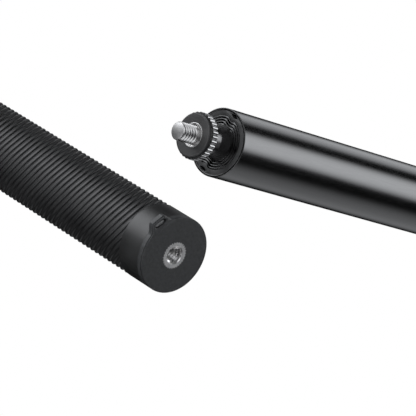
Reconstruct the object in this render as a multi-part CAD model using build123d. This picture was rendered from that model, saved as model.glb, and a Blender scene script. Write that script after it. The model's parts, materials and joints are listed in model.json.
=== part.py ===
from build123d import *
import os
from math import cos, sin, tau

# A telescopic boom pole, collapsed. The pole lies along +X with the middle of its butt face at the
# origin; the lanyard ear is at the top, +Z. Sizes are in millimetres.

# ---- driving dimensions ----
MOUTH_X = 400.0            # front end of the outer tube
TUBE_R = 12.0              # outer tube, outside
TUBE_WALL = 0.8
SECTIONS = (2, 3, 4, 5)    # the sliding sections, from the widest to the thinnest
SECTION_R = 9.3            # section 2, outside
SECTION_STEP = 0.91        # each further section is smaller in radius by this
SECTION_WALL = 0.6
SECTION_BACK_X = 32.0      # rear end of every sliding section when the pole is collapsed
SLIDE_GAP = 0.1            # running clearance between a guide and the section inside or outside it
BUSH_LENGTH = 14.0         # mouth bushes, and the mouth collar
TAIL_LENGTH = 40.0         # guide sleeve at the rear end of each sliding section
COLLAR_RECESS = 0.2        # the collar's face is this far inside the outer tube's end
BUSH_RECESS = 1.5          # and the bushes this far inside the section ends

KEY_CENTRE_R = 10.5        # the anti-rotation grooves are all arcs about this line, above and below
KEY_R = 2.1                # groove radius in section 2; it grows by SECTION_STEP per section
SHOULDER_R = 0.8           # rounding of the grooves' shoulders
KEY_SLOT = (1.4, 0.5)      # half sizes of the oval moulding slot in each key of the mouth collar

GRIP_R = 14.4
GRIP_END_X = 170.0
CAP_THICKNESS = 2.7
EAR_R = 17.5               # outer edge of the lanyard ear
EAR_BASE_ANGLE = 18.0      # half angle of the ear at the cap's rim, in degrees
EAR_TOP_ANGLE = 9.0        # half angle of its outer edge
EAR_SLOT = (4.8, 1.7)      # length and width of the lanyard slot
EAR_SLOT_R = 15.6          # distance of the slot from the pole's axis
PEG_R, PEG_CIRCLE_R, PEG_END_X = 1.2, 8.2, 9.0

INSERT_R, INSERT_ROOT_R, INSERT_TEETH = 5.2, 4.7, 30
INSERT_LENGTH = 12.0
FEMALE_THREAD_R = 2.55     # minor radius of the quarter-inch 20-turn thread
PLUG_END_X = 28.0
PIN_R, PIN_X = 1.5, 20.0
BUMPER_LENGTH = 3.0

NECK_PLUG_LENGTH = 12.0
NECK_FLANGE_R, NECK_WAIST_R = 6.2, 5.5
NECK_FLARE_LENGTH = 3.0
NECK_END_X = MOUTH_X + 9.1
CLIP_POCKET_R, CLIP_POCKET_DEPTH = 4.6, 5.0
SHANK_R = 3.0
SHANK_GAP = 0.08           # running clearance of the screw's shank in the neck
CLIP_R, CLIP_BORE_R, CLIP_THICKNESS = 4.1, 2.4, 0.8
WASHER_THICKNESS, WASHER_GAP = 0.5, 0.2
WASHER_X = MOUTH_X - NECK_PLUG_LENGTH + CLIP_POCKET_DEPTH - WASHER_GAP - WASHER_THICKNESS
CLIP_X = WASHER_X - CLIP_THICKNESS
SHANK_END_X = CLIP_X - 1.5

WHEEL_R, WHEEL_ROOT_R, WHEEL_TEETH = 8.25, 7.7, 30
WHEEL_SHOULDER_R, WHEEL_FACE_R = 8.0, 7.2
WHEEL_BACK_X, WHEEL_FRONT_X = MOUTH_X + 9.3, MOUTH_X + 12.9
WHEEL_KNURL_LENGTH = 2.3
FLANGE_R, FLANGE_THICKNESS = 4.25, 0.8
STUD_R = 3.175             # quarter-inch 20-turn male thread, outside
STUD_END_X = MOUTH_X + 20.4
STUD_CHAMFER = 0.5

FINE_EDGE = 0.3            # small edge break on moulded and turned pieces


# ---- helpers ----
def section_radius(number):
    return SECTION_R - SECTION_STEP * (number - SECTIONS[0])


def key_radius(number):
    return KEY_R + SECTION_STEP * (number - SECTIONS[0])


def keyed_profile(radius, groove, shoulder):
    """A round outline with two opposed grooves, above and below the axis."""
    outline = Circle(radius)
    for side in (1, -1):
        outline -= Pos(0, side * KEY_CENTRE_R) * Circle(groove)
    corners = outline.vertices().filter_by(lambda corner: abs(corner.Y) > radius / 2)
    return fillet(corners, shoulder)


def toothed_profile(tip_r, root_r, teeth):
    """A round outline with straight pointed teeth."""
    points = []
    for half_step in range(2 * teeth):
        radius = root_r if half_step % 2 else tip_r
        angle = tau * half_step / (2 * teeth)
        points.append((radius * cos(angle), radius * sin(angle)))
    return make_face(Polyline(*points, close=True))


def along_x(profile, start, end):
    """Extrude an outline drawn across the pole, from x = start to x = end."""
    return extrude(Plane.YZ.offset(start) * profile, end - start)


def rod(radius, start, end):
    return along_x(Circle(radius), start, end)


def turned(*outline):
    """Revolve a closed outline of (x, radius) points about the pole's axis."""
    return revolve(make_face(Polyline(*outline, close=True)), Axis.X, 360)


def clearance_of(number):
    """The outline that a section slides in."""
    radius = section_radius(number) + SLIDE_GAP
    return keyed_profile(radius, key_radius(number) - SLIDE_GAP, SHOULDER_R)


def outside_of(number):
    return keyed_profile(section_radius(number), key_radius(number), SHOULDER_R)


def inside_of(number):
    radius = section_radius(number) - SECTION_WALL
    return keyed_profile(radius, key_radius(number) + SECTION_WALL, SHOULDER_R - SECTION_WALL)


# ---- butt end ----
def butt_cap():
    ear_points = []
    for angle, radius in (
        (-EAR_BASE_ANGLE, GRIP_R),
        (-EAR_TOP_ANGLE, EAR_R),
        (EAR_TOP_ANGLE, EAR_R),
        (EAR_BASE_ANGLE, GRIP_R),
    ):
        turn = tau * angle / 360
        ear_points.append((radius * sin(turn), radius * cos(turn)))
    outline = Circle(GRIP_R) + make_face(Polyline((0, 0), *ear_points, close=True))
    corners = outline.vertices().filter_by(lambda corner: corner.Y > GRIP_R / 2)
    outline = fillet(corners, 1.0)
    outline -= Pos(0, EAR_SLOT_R) * SlotOverall(*EAR_SLOT)
    cap = along_x(outline, 0, CAP_THICKNESS)
    for peg in range(3):
        angle = tau * peg / 3
        place = Pos(0, PEG_CIRCLE_R * sin(angle), PEG_CIRCLE_R * cos(angle))
        cap += place * rod(PEG_R, CAP_THICKNESS, PEG_END_X)
    return cap - rod(INSERT_R, 0, CAP_THICKNESS)


def butt_plug():
    plug = rod(TUBE_R - TUBE_WALL, CAP_THICKNESS, PLUG_END_X)
    plug -= rod(INSERT_R, CAP_THICKNESS, INSERT_LENGTH)
    for peg in range(3):
        angle = tau * peg / 3
        place = Pos(0, PEG_CIRCLE_R * sin(angle), PEG_CIRCLE_R * cos(angle))
        plug -= place * rod(PEG_R, CAP_THICKNESS, PEG_END_X)
    return plug - cross_pin_space()


def cross_pin_space():
    return Pos(PIN_X, 0, 0) * Rot(90, 0, 0) * Cylinder(PIN_R, 4 * TUBE_R)


def plug_pin():
    return Pos(PIN_X, 0, 0) * Rot(90, 0, 0) * Cylinder(PIN_R, 2 * (TUBE_R - FINE_EDGE))


def butt_thread_insert():
    outline = toothed_profile(INSERT_R, INSERT_ROOT_R, INSERT_TEETH)
    return along_x(outline - Circle(FEMALE_THREAD_R), 0, INSERT_LENGTH)


def butt_bumper():
    return rod(TUBE_R - TUBE_WALL, PLUG_END_X, PLUG_END_X + BUMPER_LENGTH)


def outer_tube():
    ring = Circle(TUBE_R) - Circle(TUBE_R - TUBE_WALL)
    return along_x(ring, CAP_THICKNESS, MOUTH_X) - cross_pin_space()


def grip_sleeve():
    sleeve = along_x(Circle(GRIP_R) - Circle(TUBE_R), CAP_THICKNESS, GRIP_END_X)
    front_rim = sleeve.edges().sort_by(Axis.X)[-2:].sort_by(SortBy.RADIUS)[-1]
    return chamfer(front_rim, 1.2)


# ---- mouth and sliding sections ----
def mouth_collar():
    outline = Circle(TUBE_R - TUBE_WALL) - clearance_of(SECTIONS[0])
    for side in (1, -1):
        outline -= Pos(0, side * KEY_CENTRE_R) * Ellipse(*KEY_SLOT)
    return along_x(outline, MOUTH_X - BUSH_LENGTH, MOUTH_X - COLLAR_RECESS)


def section_tube(number):
    return along_x(outside_of(number) - inside_of(number), SECTION_BACK_X, MOUTH_X)


def section_bush(number):
    """The liner bonded into a section's mouth, in which the next section slides."""
    outline = inside_of(number) - clearance_of(number + 1)
    return along_x(outline, MOUTH_X - BUSH_LENGTH, MOUTH_X - BUSH_RECESS)


def section_tail(number):
    """The guide sleeve on a section's rear end, which slides inside the wider tube."""
    if number == SECTIONS[0]:
        outline = Circle(TUBE_R - TUBE_WALL - SLIDE_GAP)
    else:
        wider = number - 1
        radius = section_radius(wider) - SECTION_WALL - SLIDE_GAP
        outline = keyed_profile(radius, key_radius(wider) + SECTION_WALL + SLIDE_GAP, SHOULDER_R)
    outline -= outside_of(number)
    return along_x(outline, SECTION_BACK_X, SECTION_BACK_X + TAIL_LENGTH)


# ---- tip ----
def tip_neck():
    last = SECTIONS[-1]
    plug = along_x(inside_of(last), MOUTH_X - NECK_PLUG_LENGTH, MOUTH_X)
    rim = (MOUTH_X + FINE_EDGE, NECK_FLANGE_R)
    waist = (MOUTH_X + FINE_EDGE + NECK_FLARE_LENGTH, NECK_WAIST_R)
    flare = make_face(
        Polyline(waist, (NECK_END_X, NECK_WAIST_R), (NECK_END_X, 0), (MOUTH_X, 0))
        + Polyline((MOUTH_X, 0), (MOUTH_X, NECK_FLANGE_R), rim)
        + TangentArc(waist, rim, tangent=(-1, 0))
    )
    neck = plug + revolve(flare, Axis.X, 360)
    neck -= rod(SHANK_R + SHANK_GAP, MOUTH_X - NECK_PLUG_LENGTH, NECK_END_X)
    pocket_start = MOUTH_X - NECK_PLUG_LENGTH
    return neck - rod(CLIP_POCKET_R, pocket_start, pocket_start + CLIP_POCKET_DEPTH)


def thumb_wheel():
    knurl = toothed_profile(WHEEL_R, WHEEL_ROOT_R, WHEEL_TEETH)
    knurl_end = WHEEL_BACK_X + WHEEL_KNURL_LENGTH
    wheel = along_x(knurl, WHEEL_BACK_X, knurl_end)
    round_edge = WHEEL_SHOULDER_R - WHEEL_FACE_R
    wheel += turned(
        (knurl_end, 0), (knurl_end, WHEEL_ROOT_R), (knurl_end + FINE_EDGE, WHEEL_SHOULDER_R),
        (WHEEL_FRONT_X - round_edge, WHEEL_SHOULDER_R), (WHEEL_FRONT_X, WHEEL_FACE_R),
        (WHEEL_FRONT_X, 0),
    )
    wheel -= rod(SHANK_R, WHEEL_BACK_X, WHEEL_FRONT_X)
    return wheel - rod(FLANGE_R, WHEEL_FRONT_X - FLANGE_THICKNESS, WHEEL_FRONT_X)


def tip_stud():
    flange_back = WHEEL_FRONT_X - FLANGE_THICKNESS
    flange_front = WHEEL_FRONT_X - FINE_EDGE
    return turned(
        (SHANK_END_X, 0), (SHANK_END_X, SHANK_R), (CLIP_X, SHANK_R), (CLIP_X, CLIP_BORE_R),
        (WASHER_X, CLIP_BORE_R), (WASHER_X, SHANK_R),
        (flange_back, SHANK_R), (flange_back, FLANGE_R), (flange_front, FLANGE_R),
        (flange_front, STUD_R), (STUD_END_X - STUD_CHAMFER, STUD_R),
        (STUD_END_X, STUD_R - STUD_CHAMFER), (STUD_END_X, 0),
    )


def retaining_clip():
    ring = Circle(CLIP_R) - Circle(CLIP_BORE_R)
    opening = Pos(0, -CLIP_R) * Rectangle(1.6 * CLIP_BORE_R, 2 * CLIP_R)
    return along_x(ring - opening, CLIP_X, CLIP_X + CLIP_THICKNESS)


def spring_washer():
    return along_x(Circle(CLIP_R) - Circle(SHANK_R), WASHER_X, WASHER_X + WASHER_THICKNESS)


# ---- write one file per piece ----
pieces = {
    "butt_cap": butt_cap(),
    "butt_plug": butt_plug(),
    "plug_pin": plug_pin(),
    "butt_thread_insert": butt_thread_insert(),
    "butt_bumper": butt_bumper(),
    "outer_tube": outer_tube(),
    "grip_sleeve": grip_sleeve(),
    "mouth_collar": mouth_collar(),
    "tip_neck": tip_neck(),
    "thumb_wheel": thumb_wheel(),
    "tip_stud": tip_stud(),
    "retaining_clip": retaining_clip(),
    "spring_washer": spring_washer(),
}
for number in SECTIONS:
    pieces[f"section_{number}_tube"] = section_tube(number)
    pieces[f"section_{number}_tail"] = section_tail(number)
    if number < SECTIONS[-1]:
        pieces[f"section_{number}_bush"] = section_bush(number)

os.makedirs("parts", exist_ok=True)
for name, solid in pieces.items():
    export_step(solid, f"parts/{name}.step")

slide_travel = MOUTH_X - BUSH_LENGTH - SECTION_BACK_X - TAIL_LENGTH
print("each section can travel", slide_travel, "mm")
print("screw clip from x =", CLIP_X, "mm")
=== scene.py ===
# %% [markdown]
# # A telescopic boom pole
# A boom pole holds a microphone over a scene. This one is five thin black tubes inside each other,
# with a rubber grip and a threaded insert at the butt and a screw with a thumb wheel at the tip.
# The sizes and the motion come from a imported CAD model, the frame. This lesson models the parts that
# are seen, gives every part its finish, and lights it like a small product studio.

# %% Load the frame
import json
from math import cos, pi, radians, sin, sqrt, tau

import bpy
from mathutils import Matrix, Vector

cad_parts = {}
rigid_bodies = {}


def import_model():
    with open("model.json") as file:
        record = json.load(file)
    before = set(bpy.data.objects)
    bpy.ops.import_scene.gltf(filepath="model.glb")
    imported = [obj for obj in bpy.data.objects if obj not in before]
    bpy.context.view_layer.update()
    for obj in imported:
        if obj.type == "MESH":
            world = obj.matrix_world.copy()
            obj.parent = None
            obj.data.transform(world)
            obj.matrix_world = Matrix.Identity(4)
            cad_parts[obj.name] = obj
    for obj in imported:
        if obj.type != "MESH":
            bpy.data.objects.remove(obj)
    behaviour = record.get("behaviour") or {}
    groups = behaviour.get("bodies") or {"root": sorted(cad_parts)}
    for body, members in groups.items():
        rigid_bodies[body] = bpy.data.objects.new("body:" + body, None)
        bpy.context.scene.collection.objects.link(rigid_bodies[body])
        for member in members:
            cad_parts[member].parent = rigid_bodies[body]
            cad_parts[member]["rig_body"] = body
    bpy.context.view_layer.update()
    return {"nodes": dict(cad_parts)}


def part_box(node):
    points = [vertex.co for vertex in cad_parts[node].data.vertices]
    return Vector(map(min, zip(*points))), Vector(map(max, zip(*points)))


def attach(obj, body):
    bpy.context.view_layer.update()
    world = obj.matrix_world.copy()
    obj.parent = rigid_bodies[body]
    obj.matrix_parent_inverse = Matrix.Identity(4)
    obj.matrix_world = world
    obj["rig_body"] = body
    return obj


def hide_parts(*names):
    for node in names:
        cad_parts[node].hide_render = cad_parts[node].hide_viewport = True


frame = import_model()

# %% [markdown]
# ## Sizes
# The pole lies along X with the middle of its butt face at the origin and its lanyard ear at the top.
# So a part's ends are the least and greatest x of its CAD node, and its radius is half its width
# across Y. Only details that the frame leaves out, such as ribs and thread turns, get numbers here.

# %% Measure the frame
MM = 0.001


def ends(node):
    low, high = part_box(node)
    return low.x, high.x


def radius(node):
    low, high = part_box(node)
    return (high.y - low.y) / 2


CAP_BACK, GRIP_END = ends("grip_sleeve")
GRIP_R, TUBE_R = radius("grip_sleeve"), radius("outer_tube")
MOUTH_X = ends("outer_tube")[1]
COLLAR_R = radius("mouth_collar")
EAR_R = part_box("butt_cap")[1].z
SECTIONS = (2, 3, 4, 5)
print("grip", round(2 * GRIP_R / MM, 1), "mm across, tube", round(2 * TUBE_R / MM, 1), "mm across")

# %% [markdown]
# ## Turning, by hand
# Most parts are turned on a lathe, so they are drawn the way a turner thinks: half the outline, swung
# round the axis. One vertex is extruded from point to point along the outline, and Spin sweeps it
# through a full turn. The first and last copies then lie on each other, and merging by distance
# closes the seam. A stack of scaled circles would do too, but an outline is easier to change.

# %% A lathe
SAME_PLACE = 0.001 * MM    # vertices closer than this are merged
SMOOTH_ANGLE = radians(35)


def deselect():
    bpy.ops.object.select_all(action="DESELECT")


def one_vertex(name):
    """A new piece with one vertex at the origin, left in edit mode."""
    deselect()
    bpy.ops.mesh.primitive_plane_add(size=MM)
    piece = bpy.context.object
    piece.name = piece.data.name = name
    bpy.ops.object.mode_set(mode="EDIT")
    bpy.ops.mesh.merge(type="CENTER")
    return piece


def draw(outline, closed):
    """Extrude the one vertex along (x, radius) points, in the half plane above the axis."""
    x, height = outline[0]
    bpy.ops.transform.translate(value=(x, 0, height))
    for next_x, next_height in outline[1:] + outline[: 1 if closed else 0]:
        step = (next_x - x, 0, next_height - height)
        bpy.ops.mesh.extrude_vertices_move(TRANSFORM_OT_translate={"value": step})
        x, height = next_x, next_height


def merge_and_face_out():
    bpy.ops.mesh.select_all(action="SELECT")
    bpy.ops.mesh.remove_doubles(threshold=SAME_PLACE)
    bpy.ops.mesh.normals_make_consistent(inside=False)


def turned(name, outline, closed=True, steps=128):
    """Spin an outline round the pole's axis. An open outline starts and ends on the axis."""
    piece = one_vertex(name)
    draw(outline, closed)
    bpy.ops.mesh.select_all(action="SELECT")
    bpy.ops.mesh.spin(steps=steps, angle=tau, center=(0, 0, 0), axis=(1, 0, 0))
    merge_and_face_out()
    bpy.ops.object.mode_set(mode="OBJECT")
    return piece


def apply_modifiers(piece):
    deselect()
    piece.select_set(True)
    bpy.context.view_layer.objects.active = piece
    for modifier in list(piece.modifiers):
        bpy.ops.object.modifier_apply(modifier=modifier.name)


def soften(piece, width, segments=3, sharp=radians(30)):
    """Round every sharp edge a little, then shade smooth and let the large faces stay flat."""
    if width:
        bevel = piece.modifiers.new("edges", "BEVEL")
        bevel.width = width
        bevel.segments = segments
        bevel.limit_method = "ANGLE"
        bevel.angle_limit = sharp
        bevel.use_clamp_overlap = True
    apply_modifiers(piece)
    piece.select_set(True)
    bpy.ops.object.shade_smooth_by_angle(angle=SMOOTH_ANGLE)
    flat = piece.modifiers.new("flat_faces", "WEIGHTED_NORMAL")
    flat.keep_sharp = True
    apply_modifiers(piece)
    return piece


print("a lathe, a merge and a soft edge")

# %% [markdown]
# ## Cutting from plate
# The collar, the bushes and the keyed tubes aren't round: two grooves run along them, above and
# below, so that a section can't twist in the next one. They are all flat outlines given a thickness,
# like plate. A filled 2D curve does this best, because it sorts outer outlines from holes by itself
# and rounds the edges of both as it is extruded. The outlines are formulas, so no point is typed in.

# %% Plate from outlines


def plate(name, outlines, start, end, edge=0.0, shrink=0.0):
    """Fill closed outlines of (y, z) points, holes after the first, and extrude them along X.

    Holes run the other way round, so that the edge rounding and the shrinking act on them too.
    """
    deselect()
    bpy.ops.curve.primitive_bezier_circle_add()
    piece = bpy.context.object
    piece.name = name
    curve = piece.data
    curve.splines.clear()
    curve.dimensions = "2D"
    curve.fill_mode = "BOTH"
    for outline in [outlines[0]] + [hole[::-1] for hole in outlines[1:]]:
        spline = curve.splines.new("POLY")
        spline.points.add(len(outline) - 1)
        for point, (y, z) in zip(spline.points, outline):
            point.co = (y, z, 0, 1)
        spline.use_cyclic_u = True
    curve.extrude = (end - start) / 2 - edge
    curve.bevel_depth = edge
    curve.bevel_resolution = 1
    curve.offset = -edge - shrink
    bpy.ops.object.convert(target="MESH")
    across_to_along = Matrix(((0, 0, 1), (1, 0, 0), (0, 1, 0))).to_4x4()
    piece.matrix_world = Matrix.Translation(((start + end) / 2, 0, 0)) @ across_to_along
    bpy.ops.object.transform_apply(location=True, rotation=True, scale=True)
    piece.data.name = name
    bpy.ops.object.mode_set(mode="EDIT")
    merge_and_face_out()
    bpy.ops.object.mode_set(mode="OBJECT")
    return piece


def polar(distance, angle):
    """(y, z) of a point, with the angle counted from the top."""
    return distance * sin(angle), distance * cos(angle)


def circle(distance, count=128):
    return [polar(distance, tau * i / count) for i in range(count)]


def soft_min(a, b, blend):
    """The smaller of two lengths, with a rounded change from one to the other."""
    share = min(1, max(0, 0.5 + 0.5 * (b - a) / blend))
    return b + (a - b) * share - blend * share * (1 - share)


def soft_max(a, b, blend):
    return -soft_min(-a, -b, blend)


print("plates from outlines")

# %% [markdown]
# ## The outer tube
# The outer tube is thin-walled aluminium, drawn and then anodised black. It is turned here as a
# closed outline of its wall, so that the mouth shows a real rim. Its edges are broken by hand on the
# real one, which a narrow bevel copies, and the bevel catches the fine bright line that a sharp edge
# never has.

# %% Outer tube
TUBE_WALL = TUBE_R - COLLAR_R
outer_tube = turned(
    "outer_tube_black",
    [
        (CAP_BACK, COLLAR_R),
        (CAP_BACK, TUBE_R),
        (MOUTH_X, TUBE_R),
        (MOUTH_X, COLLAR_R),
    ],
    steps=192,
)
soften(outer_tube, 0.15 * MM)
print("outer tube with a wall of", round(TUBE_WALL / MM, 2), "mm")

# %% [markdown]
# ## The keyed sections
# Each section is a round tube with a groove above and below. All the grooves are arcs about the same
# two lines, so the tubes nest at an even distance. The outline is a circle, cut back where a ray from
# the axis meets the groove's arc first, and a soft minimum rounds the shoulders between the two.

# %% Sliding sections
KEY_CENTRE = 10.5 * MM
KEY_R = 2.1 * MM
SECTION_STEP = radius("section_2_tube") - radius("section_3_tube")
SECTION_WALL = 0.6 * MM
SLIDE_GAP = 0.1 * MM
SHOULDER = 0.35 * MM


def keyed(distance, groove, count=288):
    """A circle with a groove of the given radius above and below."""
    points = []
    for i in range(count):
        angle = tau * i / count
        off_key = abs(sin(angle)) * KEY_CENTRE
        reach = distance
        if off_key < groove:
            to_groove = abs(cos(angle)) * KEY_CENTRE - sqrt(groove**2 - off_key**2)
            reach = soft_min(distance, to_groove, SHOULDER)
        points.append(polar(reach, angle))
    return points


def groove_of(number):
    return KEY_R + SECTION_STEP * (number - SECTIONS[0])


def section_outside(number, gap=0.0):
    return keyed(radius(f"section_{number}_tube") + gap, groove_of(number) - gap)


def section_inside(number):
    return section_outside(number, -SECTION_WALL)


section_tubes = []
for number in SECTIONS:
    start, end = ends(f"section_{number}_tube")
    outlines = [section_outside(number), section_inside(number)]
    tube = plate(f"section_{number}_tube_black", outlines, start, end, edge=0.08 * MM)
    section_tubes.append(soften(tube, 0))
print(len(section_tubes), "keyed tubes")

# %% [markdown]
# ## The collar and the bushes
# The collar fills the wide step between the outer tube and section 2, and its two keys fit the
# grooves. Each key is cored out by an oval slot, as moulders do to keep a thick spot from sinking.
# The bushes are thin liners just inside the mouths of sections 2, 3 and 4. They sit back from the
# rims, so what shows between two tubes is a fine black gap.

# %% Mouth collar and bushes
KEY_SLOT_HALF = (1.65 * MM, 0.55 * MM)


def key_slot(side, count=32):
    half_width, half_height = KEY_SLOT_HALF
    points = []
    for i in range(count):
        turn = tau * i / count
        lift = half_height * sin(turn) * sqrt(abs(sin(turn)))
        points.append((half_width * cos(turn), side * KEY_CENTRE + lift))
    return points


collar_outlines = [circle(COLLAR_R, 192), section_outside(2, SLIDE_GAP), key_slot(1), key_slot(-1)]
mouth_collar = plate("mouth_collar_black", collar_outlines, *ends("mouth_collar"), edge=0.05 * MM)
soften(mouth_collar, 0)

bushes = []
for number in SECTIONS[:-1]:
    outlines = [section_inside(number), section_outside(number + 1, SLIDE_GAP)]
    bush = plate(f"section_{number}_bush_liner", outlines, *ends(f"section_{number}_bush"))
    bushes.append(soften(bush, 0))
print("one collar and", len(bushes), "bushes")

# %% [markdown]
# ## The neck
# The neck closes section 5 and carries the screw. It flares towards the tube in one smooth curve and
# is polished, so it shows the studio lights as soft spots. It is turned from an open outline that
# ends in the bore, and its flare is a parabola that meets the straight waist without a crease.

# %% Tip neck
NECK_BACK, NECK_END = ends("tip_neck")
NECK_FLANGE_R = radius("tip_neck")
NECK_WAIST_R = 5.5 * MM
NECK_TOP_R = 4.95 * MM
NECK_RIM = 0.3 * MM
NECK_FLARE = 4.2 * MM
NECK_PLUG_R = 5.0 * MM
NECK_BORE_R = 3.08 * MM


def neck_flare(count=14):
    points = []
    for i in range(count + 1):
        share = i / count
        drop = (NECK_FLANGE_R - NECK_WAIST_R) * (1 - share) ** 2
        points.append((MOUTH_X + NECK_RIM + NECK_FLARE * share, NECK_WAIST_R + drop))
    return points


tip_neck = turned(
    "tip_neck_polished",
    [
        (NECK_BACK, NECK_BORE_R),
        (NECK_BACK, NECK_PLUG_R),
        (MOUTH_X, NECK_PLUG_R),
        (MOUTH_X, NECK_FLANGE_R),
        *neck_flare(),
        (NECK_END, NECK_TOP_R),
        (NECK_END, NECK_BORE_R),
    ],
)
soften(tip_neck, 0.12 * MM)
print("neck from", round(NECK_BACK / MM, 1), "to", round(NECK_END / MM, 1), "mm")

# %% [markdown]
# ## The thumb wheel
# Fingers turn the wheel by its coarse straight knurl. The knurl is a plate whose outline swells once
# per tooth, round on top and narrow in the valleys, which is what a pressed knurl looks like. The
# smooth front of the wheel is turned and joined to it, and its edge is rounded off in a quarter
# circle. It goes from a matt face to a dark edge, because the side and the rounded edge are painted
# near-black: painted shade.

# %% Thumb wheel
WHEEL_BACK, WHEEL_FRONT = ends("thumb_wheel")
WHEEL_R = radius("thumb_wheel")
WHEEL_TEETH = 30
TOOTH_DEPTH = 0.55 * MM
KNURL_LENGTH = 2.3 * MM
FACE_EDGE = 0.75 * MM
FACE_BODY_R = 7.85 * MM
SHANK_R = 3.0 * MM
FLANGE_R, FLANGE_DEPTH = 4.25 * MM, 0.8 * MM   # the stud's flange sits in the wheel this deep


def knurled(points_per_tooth=8):
    points = []
    count = WHEEL_TEETH * points_per_tooth
    for i in range(count):
        angle = tau * i / count
        swell = abs(cos(angle * WHEEL_TEETH / 2)) ** 0.7
        points.append(polar(WHEEL_R - TOOTH_DEPTH * (1 - swell), angle))
    return points


def quarter_round(x, outer, edge, count=8):
    """Points of a rounded front edge, from the rim to the face at x."""
    turns = [pi / 2 * i / count for i in range(count + 1)]
    return [(x - edge + edge * sin(t), outer - edge + edge * cos(t)) for t in turns]


def join(pieces, name):
    """Join pieces into the first one."""
    deselect()
    for piece in pieces:
        piece.select_set(True)
    bpy.context.view_layer.objects.active = pieces[0]
    bpy.ops.object.join()
    pieces[0].name = pieces[0].data.name = name
    return pieces[0]


knurl_end = WHEEL_BACK + KNURL_LENGTH
flange_seat = WHEEL_FRONT - FLANGE_DEPTH
knurl = plate(
    "knurl", [knurled(), circle(SHANK_R, 64)], WHEEL_BACK, knurl_end + 0.2 * MM, edge=0.12 * MM
)
wheel_face = turned(
    "wheel_face",
    [
        (knurl_end, SHANK_R),
        (knurl_end, FACE_BODY_R - 0.4 * MM),
        (knurl_end + 0.3 * MM, FACE_BODY_R),
        *quarter_round(WHEEL_FRONT, FACE_BODY_R, FACE_EDGE),
        (WHEEL_FRONT, FLANGE_R),
        (flange_seat, FLANGE_R),
        (flange_seat, SHANK_R),
    ],
)
thumb_wheel = soften(join([knurl, wheel_face], "thumb_wheel_knurled"), 0)
print("thumb wheel with", WHEEL_TEETH, "teeth")

# %% [markdown]
# ## Threads
# A thread is one ridge that climbs a cylinder. The Screw modifier does exactly that: it carries a
# small closed section round the axis and along it at once, one pitch per turn. The pitch and the
# diameter are those of the common quarter-inch camera thread. The ridge is sunk a little into its
# core so that no gap shows, and its last turn runs out into the chamfered end of the stud.

# %% Thread ridge
PITCH = 1.27 * MM
STUD_R = 3.175 * MM
STUD_CORE_R = 2.5 * MM


def thread_ridge(name, root, crest, start, turns, steps=40):
    """A helical ridge from radius root to radius crest, climbing along +X."""
    piece = one_vertex(name)
    foot, top = 0.47 * PITCH, 0.06 * PITCH
    draw([(start - foot, root), (start - top, crest), (start + top, crest), (start + foot, root)], True)
    bpy.ops.mesh.select_all(action="SELECT")
    bpy.ops.mesh.remove_doubles(threshold=SAME_PLACE)
    bpy.ops.object.mode_set(mode="OBJECT")
    screw = piece.modifiers.new("thread", "SCREW")
    screw.axis = "X"
    screw.screw_offset = PITCH
    screw.iterations = turns
    screw.steps = screw.render_steps = steps
    screw.use_merge_vertices = True
    apply_modifiers(piece)
    bpy.ops.object.mode_set(mode="EDIT")
    bpy.ops.mesh.select_all(action="SELECT")
    bpy.ops.mesh.fill_holes(sides=4)
    merge_and_face_out()
    bpy.ops.object.mode_set(mode="OBJECT")
    return piece


def pull_in(piece, limit):
    """Move each vertex towards the axis until it is no further out than limit(x)."""
    for vertex in piece.data.vertices:
        reach = sqrt(vertex.co.y**2 + vertex.co.z**2)
        most = limit(vertex.co.x)
        if reach > most:
            vertex.co.y *= most / reach
            vertex.co.z *= most / reach


print("threads of", PITCH / MM, "mm pitch")

# %% [markdown]
# ## The tip stud
# The stud is one turned steel piece: a shank that the neck holds, a dished flange set in the wheel,
# and the thread that a shock mount or microphone clip screws on to. The dish makes a bright ring
# round a darker hollow, and one tiny index hole is drilled in it with a boolean cut.

# %% Tip stud
STUD_BACK, STUD_END = ends("tip_stud")
STUD_CHAMFER = 0.35 * MM
DISH_DEPTH = 0.45 * MM
INDEX_R, INDEX_AT, INDEX_ANGLE = 0.25 * MM, 3.75 * MM, radians(155)
flange_front = WHEEL_FRONT + 0.05 * MM
CLIP_X, CLIP_END = ends("retaining_clip")
CLIP_GROOVE_R = 2.4 * MM
stud_core = turned(
    "stud_core",
    [
        (STUD_BACK, 0),
        (STUD_BACK, SHANK_R),
        (CLIP_X, SHANK_R),
        (CLIP_X, CLIP_GROOVE_R),
        (CLIP_END, CLIP_GROOVE_R),
        (CLIP_END, SHANK_R),
        (flange_seat, SHANK_R),
        (flange_seat, FLANGE_R),
        (flange_front, FLANGE_R),
        (flange_front, FLANGE_R - 0.3 * MM),
        (flange_front - DISH_DEPTH, STUD_R + 0.25 * MM),
        (flange_front - DISH_DEPTH, STUD_CORE_R),
        (STUD_END - STUD_CHAMFER, STUD_CORE_R),
        (STUD_END - STUD_CHAMFER, STUD_R - 0.05 * MM),
        (STUD_END, STUD_R - STUD_CHAMFER),
        (STUD_END, 0),
    ],
    closed=False,
    steps=96,
)
deselect()
bpy.ops.mesh.primitive_cylinder_add(
    vertices=24,
    radius=INDEX_R,
    depth=4 * INDEX_R,
    location=(flange_front - DISH_DEPTH / 2, *polar(INDEX_AT, INDEX_ANGLE)),
    rotation=(0, pi / 2, 0),
)
drill = bpy.context.object
cut = stud_core.modifiers.new("index_hole", "BOOLEAN")
cut.operation = "DIFFERENCE"
cut.object = drill
apply_modifiers(stud_core)
bpy.data.objects.remove(drill)
soften(stud_core, 0.05 * MM, segments=2)
stud_turns = round((STUD_END - flange_front) / PITCH)
stud_ridge = thread_ridge("stud_ridge", STUD_CORE_R - 0.1 * MM, STUD_R, flange_front, stud_turns)
pull_in(stud_ridge, lambda x: STUD_R if x > flange_front - DISH_DEPTH else STUD_CORE_R)
for vertex in stud_ridge.data.vertices:
    vertex.co.x = min(vertex.co.x, STUD_END - STUD_CHAMFER)
soften(stud_ridge, 0)
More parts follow.
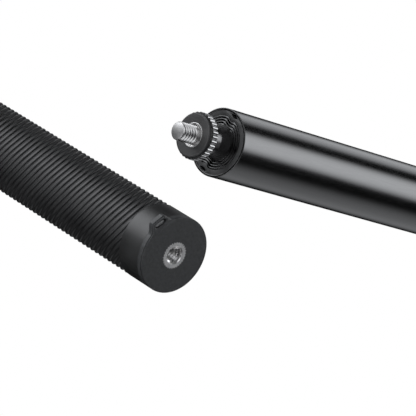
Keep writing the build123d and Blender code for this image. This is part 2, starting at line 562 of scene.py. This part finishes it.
tip_stud = join([stud_core, stud_ridge], "tip_stud_threaded")
print("stud with", stud_turns, "turns of thread")

# %% [markdown]
# ## The threaded insert
# The insert in the butt takes a stand's screw. Its rim is knurled with pointed teeth so that it can't
# turn in the plastic cap. The rim is a plate with a zigzag outline, the countersunk bore inside it is
# turned, and the same ridge as before, turned outside in, makes the female thread.

# %% Butt insert
INSERT_START, INSERT_END = ends("butt_thread_insert")
INSERT_R = radius("butt_thread_insert")
INSERT_TEETH = 30
INSERT_ROOT_R = INSERT_R - 0.6 * MM
MINOR_R = 2.55 * MM
RIM_BORE_R = 4.2 * MM
COUNTERSINK = 0.35 * MM


def pointed_teeth(tip, root, teeth):
    return [polar(root if i % 2 else tip, tau * i / (2 * teeth)) for i in range(2 * teeth)]


insert_rim = plate(
    "insert_rim",
    [pointed_teeth(INSERT_R, INSERT_ROOT_R, INSERT_TEETH), circle(RIM_BORE_R, 96)],
    INSERT_START,
    INSERT_END,
)
insert_bore = turned(
    "insert_bore",
    [
        (INSERT_START, RIM_BORE_R),
        (INSERT_START, STUD_R + COUNTERSINK),
        (INSERT_START + COUNTERSINK, STUD_R),
        (INSERT_END, STUD_R),
        (INSERT_END, RIM_BORE_R),
    ],
    steps=96,
)
insert_body = soften(join([insert_rim, insert_bore], "insert_body"), 0)
insert_turns = round((INSERT_END - INSERT_START) / PITCH) - 1
insert_ridge = thread_ridge(
    "insert_ridge", STUD_R + 0.05 * MM, MINOR_R, INSERT_START + 0.9 * PITCH, insert_turns
)
soften(insert_ridge, 0)
butt_insert = join([insert_body, insert_ridge], "butt_insert_threaded")
print("insert with", INSERT_TEETH, "teeth and", insert_turns, "turns")

# %% [markdown]
# ## The butt cap
# The cap is a moulded disc with an ear for a wrist strap. Its outline is a circle, except at the top,
# where two sloping shoulders rise to a short arc. In polar form each straight shoulder is a line's
# distance divided by a cosine, and soft minimum and maximum round the corners between the pieces.
# A fine line runs round the rim behind the front lip, so the cap is stacked from three plates.

# %% Butt cap
EAR_BASE, EAR_TOP = radians(18), radians(9)
EAR_SLOT = (4.8 * MM, 1.7 * MM)
EAR_SLOT_R = 15.6 * MM
CAP_EDGE = 0.2 * MM
LIP, LINE = 0.4 * MM, 0.3 * MM   # the front lip, and the fine line round the cap behind it
MOULDED_BACK = 0.03 * MM   # the plastic sits this far behind the insert's rim


def ear_height(angle):
    """Distance from the axis to the ear's outline, or none outside it."""
    foot = Vector(polar(GRIP_R, EAR_BASE))
    top = Vector(polar(EAR_R / cos(EAR_TOP), EAR_TOP))
    along = (foot - top).normalized()
    out = Vector((-along.y, along.x))
    shoulder = out.dot(foot) / out.dot(Vector(polar(1, abs(angle))))
    return soft_min(EAR_R / cos(angle), shoulder, 1.1 * MM)


def cap_outline():
    points = []
    fine, coarse = radians(0.5), radians(2)
    angle = -pi
    while angle < pi - fine / 2:
        near_ear = abs(angle) < radians(26)
        distance = soft_max(GRIP_R, ear_height(angle), 0.8 * MM) if near_ear else GRIP_R
        points.append(polar(distance, angle))
        angle += fine if near_ear else coarse
    return points


def slot_outline(count=12):
    length, width = EAR_SLOT
    points = []
    for side in (1, -1):
        for i in range(count + 1):
            turn = pi * i / count
            across = side * ((length - width) / 2 + width / 2 * sin(turn))
            points.append((across, EAR_SLOT_R + side * width / 2 * cos(turn)))
    return points


cap_outlines = [cap_outline(), slot_outline(), circle(INSERT_ROOT_R - 0.1 * MM, 96)]
line_start = MOULDED_BACK + LIP
layers = [
    plate("lip", cap_outlines, MOULDED_BACK, line_start, edge=CAP_EDGE),
    plate("line", cap_outlines, line_start - CAP_EDGE, line_start + LINE + CAP_EDGE, shrink=LINE),
    plate("body", cap_outlines, line_start + LINE, CAP_BACK, edge=0.1 * MM),
]
butt_cap = soften(join(layers, "butt_cap_moulded"), 0)
print("cap", round(CAP_BACK / MM, 1), "mm thick")

# %% [markdown]
# ## The grip
# The rubber grip has slanted ribs: each one lies in a plane that leans back by more than forty
# degrees, so it starts near the butt under the ear and ends further up the pole on the far side. One
# rib is drawn and spun, an Array modifier repeats it along the pole, and a shear slants them all at
# once. The shear operator needs a window, so the mesh is sheared by a matrix. Then bisect trims both
# ends square, and circles are bridged to the trimmed loops to make the wall. The bridges are not clean:
# some edges at both ends stay open, some faces of the wall go astray between the rubber's inside and
# outside, and the ribbed stretch faces inward. So it isn't a closed mesh yet.

# %% Grip ribs
RIB_PITCH = 2.64 * MM
RIB_DEPTH = 0.52 * MM
RIB_LEAN = 0.93            # how far a rib moves along the pole per unit of height
SMOOTH_END = 13.4 * MM     # the smooth collar of the grip ends here
FIRST_RIB = 1.3 * MM       # where the rib pattern starts, so that it meets the collar mid-rib
BAND_START = GRIP_END - 4 * MM


def rib_outline(count=5):
    """One rib: a narrow groove, a round rise on the butt side, and a longer fall."""
    groove, crest = 0.07, 0.46
    bottom = GRIP_R - RIB_DEPTH
    points = [(0, bottom), (groove * RIB_PITCH, bottom)]
    for i in range(1, count + 1):
        share = i / count
        x = groove + (crest - groove) * share
        points.append((x * RIB_PITCH, GRIP_R - RIB_DEPTH * (1 - share) ** 2))
    for i in range(1, count + 1):
        share = i / count
        x = crest + (1 - crest) * share
        points.append((x * RIB_PITCH, GRIP_R - RIB_DEPTH * share**1.5))
    return points


def circle_loop(x, distance, steps):
    """Add a circle across the pole to the piece that is being edited, and leave it selected."""
    bpy.ops.mesh.select_all(action="DESELECT")
    bpy.ops.mesh.primitive_circle_add(
        vertices=steps, radius=distance, location=(x, 0, 0), rotation=(0, pi / 2, 0)
    )


def select_open_loops(piece, x_low, x_high):
    """Select the edges with one face or none, between two stations along the pole."""
    bpy.ops.mesh.select_all(action="DESELECT")
    bpy.ops.mesh.select_mode(type="EDGE")
    bpy.ops.mesh.select_non_manifold(extend=False)
    bpy.ops.object.mode_set(mode="OBJECT")
    corners = piece.data.vertices
    for edge in piece.data.edges:
        if edge.select:
            middle = (corners[edge.vertices[0]].co + corners[edge.vertices[1]].co) / 2
            edge.select = x_low < middle.x < x_high
    bpy.ops.object.mode_set(mode="EDIT")


STEPS = 128
ribbed = one_vertex("grip_ribs")
draw(rib_outline(), closed=False)
bpy.ops.mesh.select_all(action="SELECT")
bpy.ops.mesh.spin(steps=STEPS, angle=tau, center=(0, 0, 0), axis=(1, 0, 0))
bpy.ops.mesh.select_all(action="SELECT")
bpy.ops.mesh.remove_doubles(threshold=SAME_PLACE)
bpy.ops.object.mode_set(mode="OBJECT")
reach = RIB_LEAN * GRIP_R
rib_count = int((BAND_START - SMOOTH_END + 2 * reach) / RIB_PITCH) + 3
repeat = ribbed.modifiers.new("ribs", "ARRAY")
repeat.count = rib_count
repeat.use_relative_offset = False
repeat.use_constant_offset = True
repeat.constant_offset_displace = (RIB_PITCH, 0, 0)
repeat.use_merge_vertices = True
repeat.merge_threshold = SAME_PLACE
apply_modifiers(ribbed)
slant = Matrix.Identity(4)
slant[0][2] = -RIB_LEAN
slant[0][3] = SMOOTH_END - reach - RIB_PITCH + FIRST_RIB - RIB_PITCH
ribbed.data.transform(slant)
print(rib_count, "slanted ribs")

# %% Trim and close the grip
SMOOTH_STEP = 0.02 * MM    # the smooth collar lies this much lower than the crests of the ribs
END_ROUND = 1.4 * MM
bpy.ops.object.mode_set(mode="EDIT")
for place, outward in ((SMOOTH_END, -1), (BAND_START, 1)):
    bpy.ops.mesh.select_all(action="SELECT")
    bpy.ops.mesh.bisect(plane_co=(place, 0, 0), plane_no=(outward, 0, 0), clear_outer=True)
tiny = 0.01 * MM
for place in (SMOOTH_END, BAND_START):
    circle_loop(place, TUBE_R, STEPS)
    select_open_loops(ribbed, place - tiny, place + tiny)
    bpy.ops.mesh.bridge_edge_loops()
select_open_loops(ribbed, SMOOTH_END - tiny, BAND_START + tiny)
bpy.ops.mesh.bridge_edge_loops()
bpy.ops.mesh.select_mode(type="VERT")
merge_and_face_out()
bpy.ops.object.mode_set(mode="OBJECT")
soften(ribbed, 0)
smooth_r = GRIP_R - SMOOTH_STEP
grip_collar = turned(
    "grip_collar",
    [(CAP_BACK, TUBE_R), (CAP_BACK, smooth_r), (SMOOTH_END, smooth_r), (SMOOTH_END, TUBE_R)],
)
soften(grip_collar, 0)
grip_band = turned(
    "grip_band",
    [
        (BAND_START, TUBE_R),
        (BAND_START, GRIP_R),
        *quarter_round(GRIP_END, GRIP_R, END_ROUND),
        (GRIP_END, TUBE_R),
    ],
)
soften(grip_band, 0.1 * MM)
grip = join([ribbed, grip_collar, grip_band], "grip_sleeve_ribbed")
print("grip of", len(grip.data.polygons), "faces")

# %% [markdown]
# ## Riding on the frame
# Every piece that is modelled here stands for the CAD node whose place it takes, and moves with that
# node's body, so one table does it all. Its second column names the finish that the piece is painted
# with. The CAD nodes that are left, such as the clip and the plug, keep their shapes.

# %% Put the pieces on their bodies
made = {
    "butt_cap": (butt_cap, "cap_plastic"),
    "butt_thread_insert": (butt_insert, "insert_steel"),
    "outer_tube": (outer_tube, "tube_anodised"),
    "grip_sleeve": (grip, "grip_rubber"),
    "mouth_collar": (mouth_collar, "collar_plastic"),
    "tip_neck": (tip_neck, "neck_gloss"),
    "thumb_wheel": (thumb_wheel, "wheel_metal"),
    "tip_stud": (tip_stud, "insert_steel"),
}
for number, tube in zip(SECTIONS, section_tubes):
    made[f"section_{number}_tube"] = (tube, "tube_anodised")
for number, bush in zip(SECTIONS, bushes):
    made[f"section_{number}_bush"] = (bush, "liner_plastic")
kept = {
    "butt_plug": "plug_aluminium",
    "plug_pin": "steel",
    "butt_bumper": "bumper_rubber",
    "retaining_clip": "steel",
    "spring_washer": "steel",
}
for number in SECTIONS:
    kept[f"section_{number}_tail"] = "guide_plastic"
for node, (piece, slot) in made.items():
    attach(piece, frame["nodes"][node]["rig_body"])
    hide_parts(node)
print(len(made), "pieces modelled,", len(kept), "CAD nodes kept")

# %% [markdown]
# ## Finishes
# All the finishes are made the same way: a plain shader whose colour and roughness drift with a soft
# noise, and whose surface carries a fine grain as bump. The noise reads Object coordinates, in metres
# of the real part, so its scale is the number of grains per metre. A grain that is stretched along
# the pole gives the faint draw lines of a tube. A second bump of rings, which reads the distance from
# the axis, gives the marks of a lathe tool.

# %% A finish
TURN_MARKS = 9000    # marks of a lathe tool per metre


def node_maker(tree):
    """A function that adds a node and links what is given as a socket."""

    def add(kind, inputs=(), **settings):
        node = tree.nodes.new(kind)
        for key, value in settings.items():
            setattr(node, key, value)
        for key, value in dict(inputs).items():
            if isinstance(value, bpy.types.NodeSocket):
                tree.links.new(value, node.inputs[key])
            else:
                node.inputs[key].default_value = value
        return node

    return add


def grey(value, warm=0.0):
    """A near-grey colour. Warm tints it towards brown, and a negative value towards blue."""
    return (value * (1 + warm), value, value * (1 - warm), 1)


def finish(
    name,
    dark,
    light,
    rough,
    metallic=0.0,
    ior=1.5,
    drift=60,
    grain=3000,
    grain_height=0.01 * MM,
    stretch=(1, 1, 1),
    rings=0.0,
):
    """A material. Dark and light are its two colours and rough its least and most roughness."""
    material = bpy.data.materials.new(name)
    material.use_nodes = True
    tree = material.node_tree
    tree.nodes.clear()
    add = node_maker(tree)
    place = add("ShaderNodeTexCoord").outputs["Object"]
    along = add("ShaderNodeMapping", {"Vector": place, "Scale": stretch}).outputs["Vector"]
    patches = add("ShaderNodeTexNoise", {"Vector": along, "Scale": drift, "Detail": 3})
    grains = add("ShaderNodeTexNoise", {"Vector": along, "Scale": grain, "Detail": 2})
    both = add(
        "ShaderNodeMath", {0: patches.outputs["Fac"], 1: grains.outputs["Fac"]}, operation="ADD"
    ).outputs[0]
    share = add("ShaderNodeMapRange", {"Value": both, "From Min": 0.7, "From Max": 1.3}).outputs[0]
    colour = add("ShaderNodeMix", {0: share, 6: dark, 7: light}, data_type="RGBA").outputs[2]
    roughness = add(
        "ShaderNodeMapRange", {"Value": share, "To Min": rough[0], "To Max": rough[1]}
    ).outputs[0]
    bump = add(
        "ShaderNodeBump", {"Height": grains.outputs["Fac"], "Distance": grain_height, "Strength": 1.0}
    ).outputs[0]
    if rings:
        across = add(
            "ShaderNodeVectorMath", {0: place, 1: (0, 1, 1)}, operation="MULTIPLY"
        ).outputs[0]
        distance = add("ShaderNodeVectorMath", {0: across}, operation="LENGTH").outputs["Value"]
        turn_marks = add(
            "ShaderNodeTexNoise", {"W": distance, "Scale": TURN_MARKS, "Detail": 1}, noise_dimensions="1D"
        ).outputs["Fac"]
        bump = add(
            "ShaderNodeBump",
            {"Height": turn_marks, "Distance": rings, "Strength": 1.0, "Normal": bump},
        ).outputs[0]
    shader = add(
        "ShaderNodeBsdfPrincipled",
        {
            "Base Color": colour,
            "Roughness": roughness,
            "Metallic": metallic,
            "IOR": ior,
            "Normal": bump,
        },
    ).outputs[0]
    add("ShaderNodeOutputMaterial", {"Surface": shader})
    return material


def paint(piece, material):
    piece.data.materials.clear()
    piece.data.materials.append(material)


print("one way to make a finish")

# %% [markdown]
# ## Black metal
# Anodised aluminium is metal seen through a thin black skin. A dark metallic base gives that deep
# satin shine better than paint would. The tubes were drawn through a die, so their grain is stretched
# along the pole. The neck is polished to a gloss. The thumb wheel is blasted matt on its face and
# brighter on its knurl, which catches the light. The side and the rounded edge of its face are painted
# dull near-black, a painted shade that keeps that edge dark and without a highlight.

# %% Tubes, neck and wheel
finishes = {
    "tube_anodised": finish(
        "black_anodised_tube",
        grey(0.085),
        grey(0.1),
        (0.19, 0.25),
        metallic=1.0,
        drift=40,
        grain=2500,
        grain_height=0.0006 * MM,
        stretch=(0.06, 1, 1),
    ),
    "neck_gloss": finish(
        "black_polished_neck",
        grey(0.012),
        grey(0.02),
        (0.16, 0.24),
        ior=2.0,
        grain=4000,
        grain_height=0.001 * MM,
    ),
    "wheel_metal": finish(
        "black_blasted_wheel",
        grey(0.02, 0.02),
        grey(0.032, 0.02),
        (0.36, 0.48),
        ior=1.7,
        grain=5000,
        grain_height=0.006 * MM,
    ),
}
knurl_finish = finish(
    "black_plated_knurl",
    grey(0.2),
    grey(0.28),
    (0.18, 0.26),
    metallic=1.0,
    grain=4000,
    grain_height=0.001 * MM,
)
# painted shade: near-black and matt, for the side and the rounded edge of the wheel's face, so that edge
# shows dark without a highlight
wheel_edge_shade_finish = finish(
    "wheel_edge_painted_shade", grey(0.006), grey(0.01), (0.5, 0.6), grain=4000, grain_height=0.001 * MM
)
print("black metal:", ", ".join(finishes))

# %% [markdown]
# ## Rubber and plastic
# The grip is moulded rubber, dull with a fine tooth. The cap is a harder plastic with a spark-eroded
# grain that glitters a little, and the collar is smoother. The bushes and tails are slippery
# engineering plastics, black in the mouths and natural white inside.

# %% Grip, cap, collar and liners
finishes["grip_rubber"] = finish(
    "black_grip_rubber",
    grey(0.012),
    grey(0.02),
    (0.36, 0.48),
    drift=120,
    grain=5000,
    grain_height=0.012 * MM,
)
finishes["cap_plastic"] = finish(
    "black_moulded_cap",
    grey(0.022, -0.03),
    grey(0.05, -0.03),
    (0.4, 0.55),
    drift=900,
    grain=6000,
    grain_height=0.02 * MM,
)
finishes["collar_plastic"] = finish(
    "black_moulded_collar",
    grey(0.03),
    grey(0.045),
    (0.38, 0.5),
    drift=500,
    grain=5000,
    grain_height=0.01 * MM,
)
finishes["liner_plastic"] = finish(
    "black_liner", grey(0.006), grey(0.01), (0.6, 0.7), grain=4000, grain_height=0.01 * MM
)
finishes["guide_plastic"] = finish(
    "natural_guide_plastic", grey(0.55, 0.04), grey(0.62, 0.04), (0.35, 0.45), drift=90, grain=2500
)
finishes["bumper_rubber"] = finish(
    "grey_bumper_rubber", grey(0.04), grey(0.06), (0.7, 0.85), drift=200, grain=2500
)
print("rubber and plastic ready")

# %% [markdown]
# ## Bright metal
# The insert and the stud are taken to be plated and turned, so their flat faces carry very fine rings.
# The stud's thread is given a darker grey than the turned faces, because its flanks reflect the
# brightest soft boxes and would burn out. The hidden pin, clip and washer are plain spring steel, and
# the plug is turned aluminium.

# %% Stud, insert and hidden metal
finishes["insert_steel"] = finish(
    "bright_turned_steel",
    grey(0.86, 0.01),
    grey(0.94, 0.01),
    (0.27, 0.33),
    metallic=1.0,
    drift=300,
    grain=5000,
    grain_height=0.0002 * MM,
    rings=0.0003 * MM,
)
thread_finish = finish(
    "dark_thread_steel",
    grey(0.26, 0.01),
    grey(0.32, 0.01),
    (0.2, 0.28),
    metallic=1.0,
    drift=300,
    grain=5000,
    grain_height=0.0002 * MM,
)
finishes["steel"] = finish(
    "spring_steel",
    grey(0.4, -0.02),
    grey(0.52, -0.02),
    (0.28, 0.42),
    metallic=1.0,
    drift=300,
    grain=4000,
    grain_height=0.003 * MM,
)
finishes["plug_aluminium"] = finish(
    "turned_aluminium",
    grey(0.66, -0.01),
    grey(0.76, -0.01),
    (0.3, 0.4),
    metallic=1.0,
    drift=200,
    grain=3500,
    grain_height=0.003 * MM,
    rings=0.004 * MM,
)
for piece, slot in made.values():
    paint(piece, finishes[slot])
tip_stud.data.materials.append(thread_finish)
for face in tip_stud.data.polygons:
    x, y, z = face.center
    if flange_front - DISH_DEPTH < x < STUD_END - STUD_CHAMFER and sqrt(y**2 + z**2) < STUD_R:
        face.material_index = 1
thumb_wheel.data.materials.append(knurl_finish)
# painted shade on the side and the rounded edge of the wheel's face, given to the faces picked as
# material 2 below
thumb_wheel.data.materials.append(wheel_edge_shade_finish)
for face in thumb_wheel.data.polygons:
    x, y, z = face.center
    out = sqrt(y**2 + z**2)
    if x < knurl_end and out > WHEEL_R - 1.2 * TOOTH_DEPTH:
        face.material_index = 1
    elif out > FACE_BODY_R - FACE_EDGE and x < WHEEL_FRONT - 0.02 * MM:
        face.material_index = 2
for node, slot in kept.items():
    paint(frame["nodes"][node], finishes[slot])
print(len(finishes), "finishes on", len(made) + len(kept), "pieces")

# %% [markdown]
# ## The camera
# A detail picture is taken from far away with a long lens, so that the thick and the thin end of the
# pole keep their proportions. The camera looks at the mouth of the outer tube from in front, a little
# above, and leans to one side so that the pole runs up the picture. It is built from three axes, which
# leaves no doubt about its roll.

# %% Camera
SENSOR = 36 * MM
LENS = 239.4 * MM
NEAR = 5 * MM


def view_axes(azimuth, elevation, roll):
    """The right, up and back directions of a camera. Azimuth 0 looks along +Y, 90 along -X."""
    a, e = radians(azimuth), radians(elevation)
    back = Vector((sin(a) * cos(e), -cos(a) * cos(e), sin(e)))
    level_right = Vector((cos(a), sin(a), 0))
    level_up = back.cross(level_right)
    right = cos(radians(roll)) * level_right + sin(radians(roll)) * level_up
    return right, back.cross(right), back


tip_view = view_axes(130.93, 15.25, 31.71)
mouth = Vector((MOUTH_X, 0, 0))
mouth_in_view = Vector((3.44, 22.11, -932.3)) * MM     # right, up and back of the lens
eye = mouth - sum((tip_view[i] * mouth_in_view[i] for i in range(3)), Vector())
deselect()
bpy.ops.object.camera_add()
camera = bpy.context.object
camera.matrix_world = Matrix.Translation(eye) @ Matrix(tip_view).transposed().to_4x4()
camera.data.sensor_width = SENSOR / MM
camera.data.lens = LENS / MM
camera.data.clip_start = NEAR
bpy.context.scene.camera = camera
print("camera", round((eye - mouth).length, 3), "m from the mouth of the tube")

# %% [markdown]
# ## Both ends in one picture
# A straight pole can't show its butt face and its tip face to one camera. A catalogue shows both by
# putting two pictures together. Here the second picture is a small model of the butt end, close to
# the lens, turned the way a second camera would see it. Scaling about the lens changes nothing that
# the lens sees. It shares the meshes of the real pieces, belongs to the stage and not to the part,
# and its finishes are copies whose bump is scaled with it.

# %% Small model of the butt end
MODEL_SCALE = 0.02
butt_view = view_axes(244.78, 38.83, -22.15)
butt_in_view = Vector((-11.81, -16.76, -976.7)) * MM
bpy.ops.object.empty_add()
small_butt = bpy.context.object
small_butt.name = "second_view"
small_butt.matrix_world = (
    camera.matrix_world
    @ Matrix.Scale(MODEL_SCALE, 4)
    @ Matrix.Translation(butt_in_view)
    @ Matrix(butt_view).to_4x4()
)


def small_finish(material):
    copied = material.copy()
    for node in copied.node_tree.nodes:
        if node.type == "BUMP":
            node.inputs["Distance"].default_value *= MODEL_SCALE
    return copied


for node in ("butt_cap", "butt_thread_insert", "grip_sleeve", "outer_tube"):
    piece, slot = made[node]
    twin = bpy.data.objects.new("second_view_" + node, piece.data.copy())
    bpy.context.collection.objects.link(twin)
    twin.parent = small_butt
    paint(twin, small_finish(finishes[slot]))
print("butt end shown at", MODEL_SCALE, "of its size")

# %% [markdown]
# ## Studio light
# Black gloss shows only what it reflects, so the light is drawn as soft boxes all round, seen from
# the camera, with darkness between them. They are painted on the world by direction, so both ends of
# the pole get the same light. The camera itself sees plain white instead of the boxes, and a floor
# that gives no light back, so that the black keeps its depth.

# %% Soft boxes
COOL_WHITE = (0.965, 0.985, 1.02, 1)
BRIGHT = 4                          # half angle of a box's evenly bright middle, in degrees
NARROW, MEDIUM, WIDE = 20, 27, 35   # half angles at which a box has faded to nothing
SOFT_BOXES = {
    # name: (right, up, toward the camera), strength, size
    "high back": ((0.45, 0.5, -0.75), 1.4, NARROW),
    "right": ((1.0, 0.05, -0.1), 3.8, MEDIUM),
    "low back": ((0.3, -0.75, -0.6), 0.7, WIDE),
    "top left": ((-0.6, 0.8, -0.05), 3.7, WIDE),
    "front left, high": ((-0.4, 0.6, 0.7), 1.7, WIDE),
    "front left, low": ((-0.75, -0.35, 0.55), 2.4, WIDE),
    "front": ((0.0, 0.3, 0.95), 0.9, WIDE),
    "front right": ((0.75, -0.5, 0.45), 0.4, WIDE),
}
world = bpy.data.worlds.new("studio")
bpy.context.scene.world = world
world.use_nodes = True
world.node_tree.nodes.clear()
add = node_maker(world.node_tree)
direction = add("ShaderNodeTexCoord").outputs["Generated"]
light = 0.0
for seen, strength, size in SOFT_BOXES.values():
    toward = sum((tip_view[i] * seen[i] for i in range(3)), Vector()).normalized()
    facing = add(
        "ShaderNodeVectorMath", {0: direction, 1: toward}, operation="DOT_PRODUCT"
    ).outputs["Value"]
    box_light = add(
        "ShaderNodeMapRange",
        {
            "Value": facing,
            "From Min": cos(radians(size)),
            "From Max": cos(radians(BRIGHT)),
            "To Max": strength,
        },
        interpolation_type="SMOOTHSTEP",
    ).outputs[0]
    light = add("ShaderNodeMath", {0: light, 1: box_light}, operation="ADD").outputs[0]
seen_by_camera = add("ShaderNodeLightPath").outputs["Is Camera Ray"]
studio = add("ShaderNodeBackground", {"Color": COOL_WHITE, "Strength": light}).outputs[0]
white = add("ShaderNodeBackground", {"Color": (1, 1, 1, 1)}).outputs[0]
shown = add("ShaderNodeMixShader", {0: seen_by_camera, 1: studio, 2: white}).outputs[0]
add("ShaderNodeOutputWorld", {"Surface": shown})
bpy.context.scene.view_settings.view_transform = "Standard"
print(len(SOFT_BOXES), "soft boxes")

# %% Floor
FLOOR_DEPTH, FLOOR_SIZE = 0.3, 30
deselect()
bpy.ops.mesh.primitive_plane_add(size=FLOOR_SIZE, location=(MOUTH_X / 2, 0, -FLOOR_DEPTH))
floor = bpy.context.object
floor.name = "floor"
floor.visible_glossy = floor.visible_diffuse = floor.visible_shadow = False
pale = bpy.data.materials.new("pale_floor")
pale.use_nodes = True
pale.node_tree.nodes.clear()
add = node_maker(pale.node_tree)
glow = add("ShaderNodeEmission", {"Color": (1, 1, 1, 1), "Strength": 1.0}).outputs[0]
add("ShaderNodeOutputMaterial", {"Surface": glow})
paint(floor, pale)
print("floor", FLOOR_DEPTH, "m below the pole")
